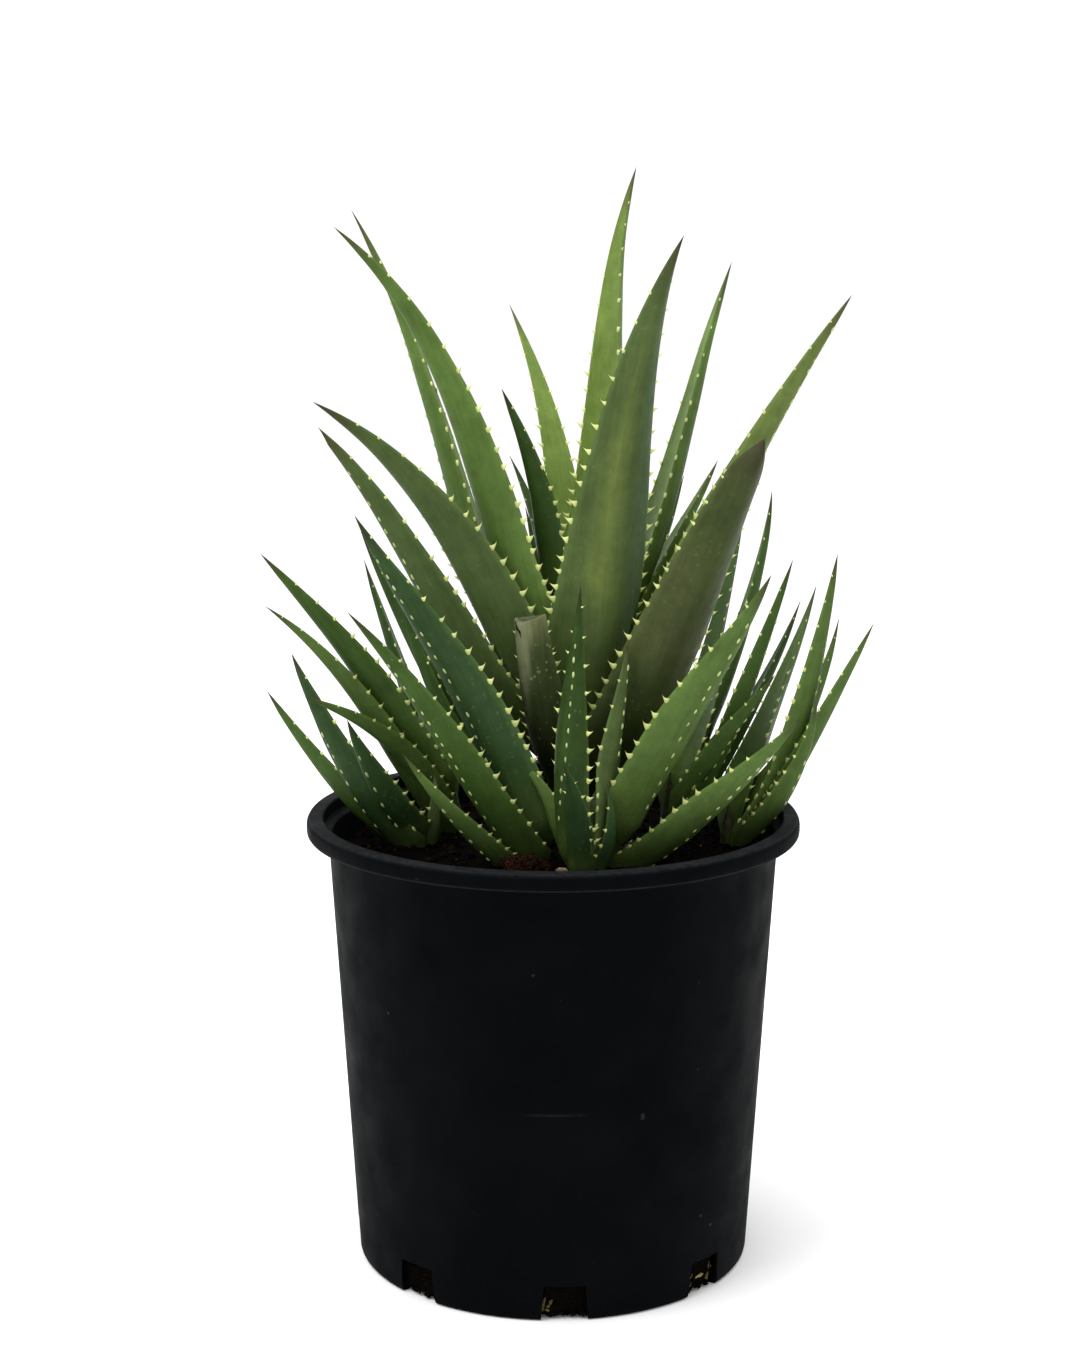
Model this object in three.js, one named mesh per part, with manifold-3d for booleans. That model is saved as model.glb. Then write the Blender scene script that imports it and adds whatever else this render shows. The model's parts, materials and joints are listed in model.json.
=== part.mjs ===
// A potted aloe: a tall rosette with a cut leaf stub, a crowd of offsets round its foot, and a black
// nursery pot with eight drainage slots. Millimetres, +Z up, origin at the centre of the pot's flat base,
// -Y the front of the plant.
import * as THREE from "three";
import { mergeVertices } from "three/addons/utils/BufferGeometryUtils.js";
import Module from "manifold-3d";

const wasm = await Module();
wasm.setup();

// Driving dimensions of the pot
const POT_HEIGHT = 184;
const RIM_RADIUS = 100;
const RIM_INNER_RADIUS = 93.3;
const RIM_BAND = 7;
const RIM_BEAD = 1;
const WALL_TOP_RADIUS = 91.3;
const BASE_RADIUS = 80.5;
const BASE_ROUNDING = 2;
const BASE_ROUNDING_MIDDLE = 0.3;
const WALL = 1.6;
const FLOOR = 2.4;
const SEGMENTS = 48;

// Drainage slots: trapezoids that cut the foot of the wall and the edge of the floor
const SLOT_COUNT = 8;
const SLOT_FIRST_ANGLE = -87;
const SLOT_HEIGHT = 14.7;
const SLOT_TOP_WIDTH = 16.3;
const SLOT_BOTTOM_WIDTH = 18.6;
const SLOT_DEPTH = 12;
const SLOT_INNER_RADIUS = BASE_RADIUS - 7;
const SLOT_OVERCUT = 1;

// Potting mix: a low crown round the plant
const SOIL_EDGE = 168;
const SOIL_SHOULDER = 169.5;
const SOIL_SHOULDER_RADIUS = 55;
const SOIL_CROWN = 171;
const SOIL_CROWN_RADIUS = 30;

// Lumps half sunk in the mix, flattened balls that swell and dip
const BARK_MOUND = { size: [12, 8, 6], turn: 10, place: [-11, -43, 171] };
const DRIED_STUB = { size: [3.4, 3, 3.4], turn: 0, place: [4, -52, 171] };
const LUMP_SWELL = 0.12;
const LUMP_WAVES = { x: 5, y: 4, z: 3, slant: 2 };

// A fleshy root that crosses the slot on the front right, just inside the wall: angles and heights
const ROOT_COURSE = [
  [-52, 5],
  [-46, 7],
  [-40, 6],
  [-34, 9],
];
const ROOT_RADIUS = 1.5;
const ROOT_SIDES = 4;
const ROOT_STEPS = 6;

// Gaps between neighbouring pieces, and how trimmed solids are cleaned
const CLEARANCE = 0.35;
const MARGIN_GAP = 2;
const TRIM_TOLERANCE = 0.05;
const TRIM_PASSES = 6;
const BEAD_SHARE = 0.6;
const BEAD_EXTRA = 0.5;
const MERGE_DISTANCE = 1e-3;

// Leaf loft: rings along the leaf, each with two margins, three outer and three inner points
const RINGS = 10;
const FACE_STEPS = [-0.5, 0, 0.5];
const FULL_WIDTH_FROM_TIP = 0.85;
const TAPER_POWER = 1.25;
const THICKEST_FROM_TIP = 0.7;
const THICKNESS_POWER = 0.8;
const THIN_LEAF = 2.5;
const THICKNESS_SHARE = 0.2;
const CHANNEL = 0.1;
const CLASP = 0.15;
const CLASP_LENGTH = 0.25;
const ROLL_LENGTH = 0.5;

// Stems: foot of each crown on the potting mix, its radius and the height of its top above the mix
const STEM_DEPTH = 24;
const STEM_SIDES = 12;
const STEM_FOOT = 0.7;
const STEM_SHOULDER = 0.6;
const STEMS = {
  main: { x: 8, y: 10, radius: 7, height: 116 },
  left_front: { x: -6, y: -20, radius: 5, height: 26 },
  left_far: { x: -54, y: 6, radius: 4, height: 16 },
  left_back: { x: -42, y: 24, radius: 4.5, height: 26 },
  front: { x: 12, y: -38, radius: 4, height: 20 },
  right_front: { x: 23, y: -26, radius: 5, height: 24 },
  right_mid: { x: 48, y: 10, radius: 4.5, height: 30 },
  right_far: { x: 72, y: 8, radius: 3.6, height: 18 },
};

// Leaves. turn: compass angle of the leaf round its stem (0 = +X, -90 = front), height: where it leaves
// the stem above the mix, lean: angle from upright at the base, the middle and the tip, swing: how far
// the leaf turns sideways on its way out, roll: twist about its own axis, blunt: share of the length lost
// at the tip, cut: ends in a flat cut.
// Earlier leaves keep their whole shape, and later ones are trimmed where they nest against them.
const LEAVES = {
  main_01: {
    stem: "main", turn: -60, height: 56, length: 203,
    width: 40, lean: [20, 14, 36], swing: 8, roll: -22,
  },
  main_02: {
    stem: "main", turn: -40, height: 26, length: 170,
    width: 38, lean: [42, 27, 33], roll: -30, blunt: 0.2,
  },
  main_stub: {
    stem: "main", turn: -116, height: 28, length: 80,
    width: 21, lean: [40, 24, 14], cut: true, blunt: 0.5,
  },
  main_03: { stem: "main", turn: 200, height: 70, length: 205, width: 30, lean: [24, 21, 53], roll: 15 },
  main_04: { stem: "main", turn: 208, height: 45, length: 179, width: 31, lean: [24, 34, 62], roll: 35 },
  main_15: { stem: "main", turn: 44, height: 60, length: 106, width: 12, lean: [42, 34, 24] },
  main_05: { stem: "main", turn: 6, height: 56, length: 198, width: 35, lean: [36, 30, 37], roll: -28 },
  main_06: { stem: "main", turn: 169, height: 48, length: 226, width: 27, lean: [30, 17, 33], roll: 10 },
  main_07: { stem: "main", turn: 25, height: 78, length: 172, width: 23, lean: [38, 18, 23], roll: -10 },
  main_08: { stem: "main", turn: 48, height: 99, length: 178, width: 28, lean: [19, 3, 22], swing: -15 },
  main_09: {
    stem: "main", turn: 188, height: 42, length: 162,
    width: 30, lean: [48, 31, 44], roll: 25, blunt: 0.05,
  },
  main_10: { stem: "main", turn: 26, height: 61, length: 112, width: 20, lean: [29, 33, 33], roll: -15 },
  main_11: { stem: "main", turn: 96, height: 104, length: 137, width: 16, lean: [24, 34, 42], swing: 26 },
  main_12: { stem: "main", turn: 192, height: 108, length: 83, width: 18, lean: [2, 16, 28], roll: 15 },
  main_13: { stem: "main", turn: 132, height: 76, length: 89, width: 11, lean: [4, 21, 40] },
  main_14: { stem: "main", turn: 118, height: 59, length: 84, width: 12, lean: [20, 24, 30] },
  left_01: {
    stem: "left_front", turn: 205, height: 18, length: 145,
    width: 30, lean: [15, 33, 31], roll: 25,
  },
  left_02: {
    stem: "left_front", turn: 214, height: 4, length: 133,
    width: 21, lean: [36, 36, 46], roll: 20,
  },
  left_03: {
    stem: "left_back", turn: 190, height: 27, length: 119,
    width: 21, lean: [32, 38, 44], roll: 40,
  },
  left_04: {
    stem: "left_back", turn: 200, height: 9, length: 119,
    width: 16, lean: [32, 36, 56], roll: 25,
  },
  left_05: { stem: "left_far", turn: 190, height: 3, length: 93, width: 22, lean: [43, 30, 24], roll: 25 },
  left_06: { stem: "left_far", turn: 223, height: 8, length: 61, width: 18, lean: [40, 35, 24], roll: 15 },
  left_07: {
    stem: "left_back", turn: 215, height: 14, length: 86,
    width: 14, lean: [24, 53, 70], roll: 20,
  },
  left_08: {
    stem: "left_front", turn: 161, height: 15, length: 139,
    width: 16, lean: [36, 31, 26], roll: 30,
  },
  left_09: {
    stem: "left_back", turn: 145, height: 24, length: 98,
    width: 14, lean: [24, 25, 25], roll: 30,
  },
  left_10: {
    stem: "left_front", turn: 175, height: 12, length: 109,
    width: 15, lean: [37, 28, 15], roll: 30,
  },
  left_11: { stem: "left_far", turn: 172, height: 2, length: 86, width: 18, lean: [56, 43, 38], roll: 25 },
  left_12: {
    stem: "left_front", turn: 221, height: -4, length: 86,
    width: 13, lean: [56, 47, 40], roll: 15,
  },
  left_13: { stem: "left_far", turn: -43, height: 3, length: 30, width: 8, lean: [25, 6, -2] },
  front_01: { stem: "front", turn: 24, height: 12, length: 80, width: 17, lean: [6, 12, 8], roll: -50 },
  front_02: { stem: "front", turn: 200, height: 10, length: 105, width: 18, lean: [8, -3, -3], roll: 50 },
  front_03: { stem: "front", turn: 171, height: 8, length: 44, width: 12, lean: [18, 28, 56], roll: 30 },
  front_04: { stem: "front", turn: -112, height: 4, length: 48, width: 14, lean: [6, 20, 44] },
  front_05: { stem: "front", turn: -24, height: 3, length: 36, width: 7, lean: [34, 8, -12] },
  right_01: {
    stem: "right_front", turn: -28, height: 21, length: 118,
    width: 27, lean: [25, 34, 28], roll: -30,
  },
  right_02: {
    stem: "right_front", turn: -20, height: 2, length: 95,
    width: 22, lean: [56, 48, 42], roll: -35,
  },
  right_03: {
    stem: "right_mid", turn: -10, height: 22, length: 63,
    width: 15, lean: [28, 39, 38], roll: -20,
  },
  right_04: {
    stem: "right_far", turn: 9, height: 7, length: 121,
    width: 22, lean: [38, 17, 12], roll: -30,
  },
  right_05: {
    stem: "right_far", turn: 0, height: 4, length: 104,
    width: 16, lean: [39, 30, 30], roll: -20,
  },
  right_06: {
    stem: "right_far", turn: -20, height: 4, length: 68,
    width: 14, lean: [50, 29, 10], roll: -20,
  },
  right_07: {
    stem: "right_mid", turn: 15, height: 13, length: 114,
    width: 18, lean: [30, 24, 22], roll: -30,
  },
  right_08: {
    stem: "right_mid", turn: 48, height: 27, length: 130,
    width: 18, lean: [35, 30, 9], swing: -5, roll: -40,
  },
  right_09: {
    stem: "right_mid", turn: 68, height: 22, length: 139,
    width: 14, lean: [45, 38, 29], swing: -4, roll: -25,
  },
  right_10: {
    stem: "right_mid", turn: 32, height: 8, length: 108,
    width: 13, lean: [38, 36, 27], roll: -20,
  },
  right_11: {
    stem: "right_far", turn: 62, height: 15, length: 112,
    width: 14, lean: [42, 44, 31], swing: -10, roll: -25,
  },
  right_12: {
    stem: "right_far", turn: 33, height: 5, length: 101,
    width: 13, lean: [44, 33, 16], roll: -20,
  },
  right_13: {
    stem: "right_mid", turn: -26, height: 5, length: 50,
    width: 10, lean: [22, 47, 66], roll: -10,
  },
};

const COLOURS = {
  pot: { color: 0x111413, roughness: 0.5 },
  soil: { color: 0x1a1613, roughness: 1 },
  bark: { color: 0x5a3424, roughness: 0.95 },
  root: { color: 0x8a6a3a, roughness: 0.9 },
  stem: { color: 0x7d8455, roughness: 0.7 },
  rosette: { color: 0x62754c, roughness: 0.55 },
  offset: { color: 0x3f5c3c, roughness: 0.55 },
  dry: { color: 0x8b8160, roughness: 0.85 },
};

const degrees = THREE.MathUtils.degToRad;
const UP = new THREE.Vector3(0, 0, 1);

function solidFrom(geometry) {
  const bare = geometry.clone();
  bare.deleteAttribute("normal");
  bare.deleteAttribute("uv");
  const merged = mergeVertices(bare, MERGE_DISTANCE);
  return new wasm.Manifold(
    new wasm.Mesh({
      numProp: 3,
      vertProperties: new Float32Array(merged.attributes.position.array),
      triVerts: new Uint32Array(merged.index.array),
    }),
  );
}

// The largest body of a solid: trimming it can leave crumbs beside its neighbour.
function largestBody(solid) {
  return solid.decompose().reduce((a, b) => (a.volume() >= b.volume() ? a : b));
}

// Edges that four faces share, where two cuts meet along a line.
function pinchedEdges(geometry) {
  const { position } = geometry.attributes;
  const key = (i) => [position.getX(i), position.getY(i), position.getZ(i)].map((v) => v.toFixed(3)).join();
  const faces = new Map();
  const corners = geometry.index.array;
  for (let i = 0; i < corners.length; i += 1) {
    const a = corners[i];
    const b = corners[i % 3 === 2 ? i - 2 : i + 1];
    const edge = [key(a), key(b)].sort().join(" ");
    faces.set(edge, [...(faces.get(edge) ?? []), [a, b]]);
  }
  return [...faces.values()]
    .filter((uses) => uses.length > 2)
    .map(([ends]) => ends.map((i) => new THREE.Vector3().fromBufferAttribute(position, i)));
}

function bead([a, b]) {
  const centre = a.clone().add(b).divideScalar(2);
  const geometry = new THREE.IcosahedronGeometry(a.distanceTo(b) * BEAD_SHARE + BEAD_EXTRA, 0);
  return solidFrom(geometry.translate(centre.x, centre.y, centre.z));
}

// A solid without the space of its neighbours. One that none of them reaches comes back as it was.
// A small bead is cut out of every edge that the cuts leave pinched.
function trimmedBy(solid, neighbours) {
  let rest = solid;
  for (const neighbour of neighbours) rest = rest.subtract(neighbour);
  if (rest.volume() === solid.volume()) return solid;
  for (let pass = 0; pass < TRIM_PASSES; pass += 1) {
    rest = largestBody(rest).asOriginal().simplify(TRIM_TOLERANCE);
    rest = largestBody(solidFrom(geometryOf(rest)));
    const pinched = pinchedEdges(geometryOf(rest));
    if (pinched.length === 0) break;
    for (const edge of pinched) rest = rest.subtract(bead(edge));
  }
  return rest;
}

function geometryOf(solid) {
  const { numProp, vertProperties, triVerts } = solid.getMesh();
  const positions = new Float32Array((vertProperties.length / numProp) * 3);
  for (let i = 0; i < positions.length / 3; i += 1) {
    positions.set(vertProperties.subarray(i * numProp, i * numProp + 3), i * 3);
  }
  const geometry = new THREE.BufferGeometry();
  geometry.setAttribute("position", new THREE.BufferAttribute(positions, 3));
  geometry.setIndex(new THREE.BufferAttribute(triVerts, 1));
  return geometry;
}

function meshFrom(name, solid, look) {
  const geometry = geometryOf(solid);
  geometry.computeVertexNormals();
  const mesh = new THREE.Mesh(geometry, new THREE.MeshStandardMaterial({ metalness: 0, ...COLOURS[look] }));
  mesh.name = name;
  return mesh;
}

function lathe(profile, segments) {
  const geometry = new THREE.LatheGeometry(
    profile.map(([radius, height]) => new THREE.Vector2(radius, height)),
    segments,
  );
  return geometry.rotateX(Math.PI / 2);
}

// ---- Pot ----

function wallRadius(height) {
  return THREE.MathUtils.lerp(BASE_RADIUS, WALL_TOP_RADIUS, height / (POT_HEIGHT - RIM_BAND));
}

function potShell() {
  const rimFoot = POT_HEIGHT - RIM_BAND;
  return solidFrom(
    lathe(
      [
        [0, 0],
        [BASE_RADIUS - BASE_ROUNDING, 0],
        [BASE_RADIUS - BASE_ROUNDING * BASE_ROUNDING_MIDDLE, BASE_ROUNDING * BASE_ROUNDING_MIDDLE],
        [wallRadius(BASE_ROUNDING), BASE_ROUNDING],
        [WALL_TOP_RADIUS, rimFoot],
        [RIM_RADIUS - RIM_BEAD, rimFoot],
        [RIM_RADIUS, rimFoot + RIM_BEAD],
        [RIM_RADIUS, POT_HEIGHT - RIM_BEAD],
        [RIM_RADIUS - RIM_BEAD, POT_HEIGHT],
        [RIM_INNER_RADIUS, POT_HEIGHT],
        [RIM_INNER_RADIUS, rimFoot + WALL],
        [WALL_TOP_RADIUS - WALL, rimFoot],
        [wallRadius(FLOOR) - WALL, FLOOR],
        [0, FLOOR],
      ],
      SEGMENTS,
    ),
  );
}

function drainageSlot(angle) {
  const outline = new THREE.Shape([
    new THREE.Vector2(-SLOT_BOTTOM_WIDTH / 2, -SLOT_OVERCUT),
    new THREE.Vector2(SLOT_BOTTOM_WIDTH / 2, -SLOT_OVERCUT),
    new THREE.Vector2(SLOT_TOP_WIDTH / 2, SLOT_HEIGHT),
    new THREE.Vector2(-SLOT_TOP_WIDTH / 2, SLOT_HEIGHT),
  ]);
  const geometry = new THREE.ExtrudeGeometry(outline, { depth: SLOT_DEPTH, bevelEnabled: false });
  geometry.rotateX(Math.PI / 2);
  geometry.rotateZ(Math.PI / 2);
  geometry.translate(SLOT_INNER_RADIUS, 0, 0);
  geometry.rotateZ(degrees(angle));
  return solidFrom(geometry);
}

function pot() {
  let shell = potShell();
  for (let i = 0; i < SLOT_COUNT; i += 1) {
    shell = shell.subtract(drainageSlot(SLOT_FIRST_ANGLE + (i * 360) / SLOT_COUNT));
  }
  return shell;
}

// ---- Stems ----

function stemSolid(stem, gap) {
  const radius = stem.radius + gap;
  const bottom = SOIL_EDGE - STEM_DEPTH - gap;
  const top = SOIL_EDGE + stem.height + gap;
  const geometry = lathe(
    [
      [0, bottom],
      [radius * STEM_FOOT, bottom],
      [radius, bottom + radius],
      [radius, SOIL_EDGE + stem.height / 2],
      [radius * STEM_SHOULDER, top - radius * STEM_SHOULDER],
      [0, top],
    ],
    STEM_SIDES,
  );
  return solidFrom(geometry.translate(stem.x, stem.y, 0));
}

// ---- Leaves ----

// Angle from upright at a share s of the leaf, through its values at the base, the middle and the tip.
function leanAt([base, middle, tip], s) {
  return base * (1 - s) * (1 - 2 * s) + middle * 4 * s * (1 - s) + tip * s * (2 * s - 1);
}

function directionAt(leaf, s) {
  const lean = degrees(leanAt(leaf.lean, s));
  const turn = degrees(leaf.turn + (leaf.swing ?? 0) * s);
  return new THREE.Vector3(Math.sin(lean) * Math.cos(turn), Math.sin(lean) * Math.sin(turn), Math.cos(lean));
}

// Share of the whole leaf that lies beyond s, counting what a blunt or cut leaf has lost.
function fromTipAt(leaf, s) {
  return 1 - s * (1 - (leaf.blunt ?? 0));
}

function widthAt(leaf, s) {
  const share = Math.min(fromTipAt(leaf, s) / FULL_WIDTH_FROM_TIP, 1);
  return leaf.width * (1 - (1 - share) ** TAPER_POWER);
}

function thicknessAt(leaf, s) {
  const full = THIN_LEAF + leaf.width * THICKNESS_SHARE;
  return full * Math.min(fromTipAt(leaf, s) / THICKEST_FROM_TIP, 1) ** THICKNESS_POWER;
}

// How far the margins stand in front of the inner face: a shallow channel that closes round the stem.
function channelAt(leaf, s) {
  const clasp = Math.max(0, 1 - s / CLASP_LENGTH);
  return widthAt(leaf, s) * (CHANNEL + CLASP * clasp);
}

function leafRing(leaf, s, centre, gap) {
  const along = directionAt(leaf, s);
  const turn = degrees(leaf.turn + (leaf.swing ?? 0) * s);
  const roll = degrees(leaf.roll ?? 0) * THREE.MathUtils.smoothstep(s, 0, ROLL_LENGTH);
  const across = new THREE.Vector3(-Math.sin(turn), Math.cos(turn), 0).applyAxisAngle(along, roll);
  const inward = new THREE.Vector3().crossVectors(along, across);
  const half = widthAt(leaf, s) / 2;
  const channel = channelAt(leaf, s);
  const thickness = thicknessAt(leaf, s);
  const place = (u, offset) =>
    centre
      .clone()
      .addScaledVector(across, u * half)
      .addScaledVector(inward, channel * u * u + offset);
  const outer = FACE_STEPS.map((u) => place(u, -thickness * (1 - u * u) - gap));
  const inner = [...FACE_STEPS].reverse().map((u) => place(u, gap));
  const margin = 1 + (MARGIN_GAP * gap) / half;
  return [place(-margin, 0), ...outer, place(margin, 0), ...inner];
}

function leafSolid(leaf, gap) {
  const stem = STEMS[leaf.stem];
  const turn = degrees(leaf.turn);
  const centre = new THREE.Vector3(
    stem.x + stem.radius * Math.cos(turn),
    stem.y + stem.radius * Math.sin(turn),
    SOIL_EDGE + leaf.height,
  );
  const lastRing = leaf.cut ? RINGS : RINGS - 1;
  const points = leafRing(leaf, 0, centre.clone().addScaledVector(directionAt(leaf, 0), -gap), gap);
  for (let i = 1; i <= lastRing; i += 1) {
    centre.addScaledVector(directionAt(leaf, (i - 0.5) / RINGS), leaf.length / RINGS);
    points.push(...leafRing(leaf, i / RINGS, centre, gap));
  }
  const sides = 2 * FACE_STEPS.length + 2;
  const index = [];
  for (let i = 0; i < lastRing; i += 1) {
    for (let k = 0; k < sides; k += 1) {
      const a = i * sides + k;
      const b = i * sides + ((k + 1) % sides);
      index.push(a, b, a + sides, b, b + sides, a + sides);
    }
  }
  const last = lastRing * sides;
  for (let k = 1; k < sides - 1; k += 1) {
    index.push(0, k + 1, k);
    if (leaf.cut) index.push(last, last + k, last + k + 1);
  }
  if (!leaf.cut) {
    points.push(centre.addScaledVector(directionAt(leaf, 1), leaf.length / RINGS + gap));
    for (let k = 0; k < sides; k += 1) {
      index.push(last + k, last + ((k + 1) % sides), points.length - 1);
    }
  }
  const geometry = new THREE.BufferGeometry().setFromPoints(points);
  geometry.setIndex(index);
  return solidFrom(geometry);
}

// ---- Potting mix and loose pieces ----

function pottingMix() {
  return solidFrom(
    lathe(
      [
        [0, FLOOR + CLEARANCE],
        [wallRadius(FLOOR) - WALL - CLEARANCE, FLOOR + CLEARANCE],
        [wallRadius(SOIL_EDGE) - WALL - CLEARANCE, SOIL_EDGE],
        [SOIL_SHOULDER_RADIUS, SOIL_SHOULDER],
        [SOIL_CROWN_RADIUS, SOIL_CROWN],
        [0, SOIL_CROWN],
      ],
      SEGMENTS,
    ),
  );
}

// A lump: a flattened ball with an uneven surface.
function lump(piece, gap) {
  const geometry = new THREE.IcosahedronGeometry(1, 1);
  geometry.deleteAttribute("uv");
  const position = geometry.attributes.position;
  for (let i = 0; i < position.count; i += 1) {
    const p = new THREE.Vector3().fromBufferAttribute(position, i);
    const wave = Math.sin(LUMP_WAVES.x * p.x + LUMP_WAVES.slant * p.y);
    const swell = 1 + LUMP_SWELL * wave * Math.cos(LUMP_WAVES.y * p.y - LUMP_WAVES.z * p.z);
    p.multiplyScalar(swell);
    position.setXYZ(i, p.x * (piece.size[0] + gap), p.y * (piece.size[1] + gap), p.z * (piece.size[2] + gap));
  }
  geometry.rotateZ(degrees(piece.turn));
  return solidFrom(geometry.translate(...piece.place));
}

function slotRoot(gap) {
  const ring = BASE_RADIUS - WALL - CLEARANCE - ROOT_RADIUS;
  const course = ROOT_COURSE.map(([angle, height]) =>
    new THREE.Vector3(ring, 0, height).applyAxisAngle(UP, degrees(angle)),
  );
  const section = new THREE.Shape();
  section.absarc(0, 0, ROOT_RADIUS + gap, 0, 2 * Math.PI);
  return solidFrom(
    new THREE.ExtrudeGeometry(section, {
      steps: ROOT_STEPS,
      curveSegments: ROOT_SIDES,
      bevelEnabled: false,
      extrudePath: new THREE.CatmullRomCurve3(course),
    }),
  );
}

// ---- Assembly ----

const group = new THREE.Group();
group.name = "potted_aloe";

const grown = [];
const leafMeshes = [];
for (const [name, leaf] of Object.entries(LEAVES)) {
  const look = leaf.cut ? "dry" : leaf.stem === "main" ? "rosette" : "offset";
  leafMeshes.push(meshFrom(`leaf_${name}`, trimmedBy(leafSolid(leaf, 0), grown), look));
  grown.push(leafSolid(leaf, CLEARANCE));
}

const rooted = [];
const stemMeshes = [];
for (const [name, stem] of Object.entries(STEMS)) {
  const node = name === "main" ? "main_stem" : `offset_crown_${name}`;
  stemMeshes.push(meshFrom(node, trimmedBy(stemSolid(stem, 0), grown), "stem"));
  rooted.push(stemSolid(stem, CLEARANCE));
}

const bedded = [lump(BARK_MOUND, CLEARANCE), lump(DRIED_STUB, CLEARANCE), slotRoot(CLEARANCE)];
const soil = trimmedBy(pottingMix(), [...grown, ...rooted, ...bedded]);

group.add(meshFrom("pot", pot(), "pot"));
group.add(meshFrom("potting_mix", soil, "soil"));
group.add(...stemMeshes, ...leafMeshes);
group.add(meshFrom("bark_mound", trimmedBy(lump(BARK_MOUND, 0), [...grown, ...rooted]), "bark"));
group.add(meshFrom("dried_stub", trimmedBy(lump(DRIED_STUB, 0), [...grown, ...rooted]), "bark"));
group.add(meshFrom("slot_root", slotRoot(0), "root"));

export default group;
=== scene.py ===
"""A potted aloe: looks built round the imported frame. Metres, +Z up, -Y the front.

The leaf, stem and pot dimensions below are the part's own driving dimensions, in millimetres.
"""
import json
import math
import random

import bpy
import numpy as np
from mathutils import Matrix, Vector, noise

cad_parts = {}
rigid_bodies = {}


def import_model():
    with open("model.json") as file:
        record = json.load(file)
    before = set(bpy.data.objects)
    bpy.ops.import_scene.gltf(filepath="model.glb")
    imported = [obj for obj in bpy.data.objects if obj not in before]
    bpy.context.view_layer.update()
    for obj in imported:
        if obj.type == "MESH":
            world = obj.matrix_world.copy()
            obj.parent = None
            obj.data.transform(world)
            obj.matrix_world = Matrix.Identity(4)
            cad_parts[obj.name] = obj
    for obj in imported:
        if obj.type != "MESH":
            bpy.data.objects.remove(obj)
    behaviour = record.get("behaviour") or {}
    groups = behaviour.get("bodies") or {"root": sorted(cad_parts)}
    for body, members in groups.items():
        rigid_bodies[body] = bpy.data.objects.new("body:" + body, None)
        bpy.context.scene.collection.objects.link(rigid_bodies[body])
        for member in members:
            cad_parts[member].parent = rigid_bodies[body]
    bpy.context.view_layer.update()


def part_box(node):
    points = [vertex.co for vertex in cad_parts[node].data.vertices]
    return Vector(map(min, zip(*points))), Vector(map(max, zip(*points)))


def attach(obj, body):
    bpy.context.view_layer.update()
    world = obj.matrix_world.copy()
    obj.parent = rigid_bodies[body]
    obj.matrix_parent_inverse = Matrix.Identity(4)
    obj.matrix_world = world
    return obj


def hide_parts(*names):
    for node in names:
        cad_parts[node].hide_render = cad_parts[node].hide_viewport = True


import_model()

MM = 0.001
SEED = 7

# ---- Dimensions of the part, in millimetres ----

POT_HEIGHT, POT_RIM_RADIUS, POT_RIM_INNER = 184, 100, 93.3
POT_BAND, POT_WALL_TOP, POT_BASE, POT_WALL, POT_FLOOR = 7, 91.3, 80.5, 1.6, 2.4
SLOT_COUNT, SLOT_FIRST, SLOT_HEIGHT, SLOT_TOP, SLOT_BOTTOM = 8, -87, 14.7, 16.3, 18.6
SOIL_EDGE, SOIL_SHOULDER, SOIL_CROWN = 168, 169.5, 171
SOIL_SHOULDER_RADIUS, SOIL_CROWN_RADIUS = 55, 30
STEM_DEPTH = 24

STEMS = {
    "main": (8, 10, 7, 116),
    "left_front": (-6, -20, 5, 26),
    "left_far": (-54, 6, 4, 16),
    "left_back": (-42, 24, 4.5, 26),
    "front": (12, -38, 4, 20),
    "right_front": (23, -26, 5, 24),
    "right_mid": (48, 10, 4.5, 30),
    "right_far": (72, 8, 3.6, 18),
}


def leaf(stem, turn, height, length, width, lean, swing=0, roll=0, blunt=0.0, cut=False, **look):
    """One leaf: its place on its stem and its shape, and how it looks."""
    return dict(
        stem=stem, turn=turn, height=height, length=length, width=width, lean=lean,
        swing=swing, roll=roll, blunt=blunt, cut=cut, **look,
    )


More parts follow.
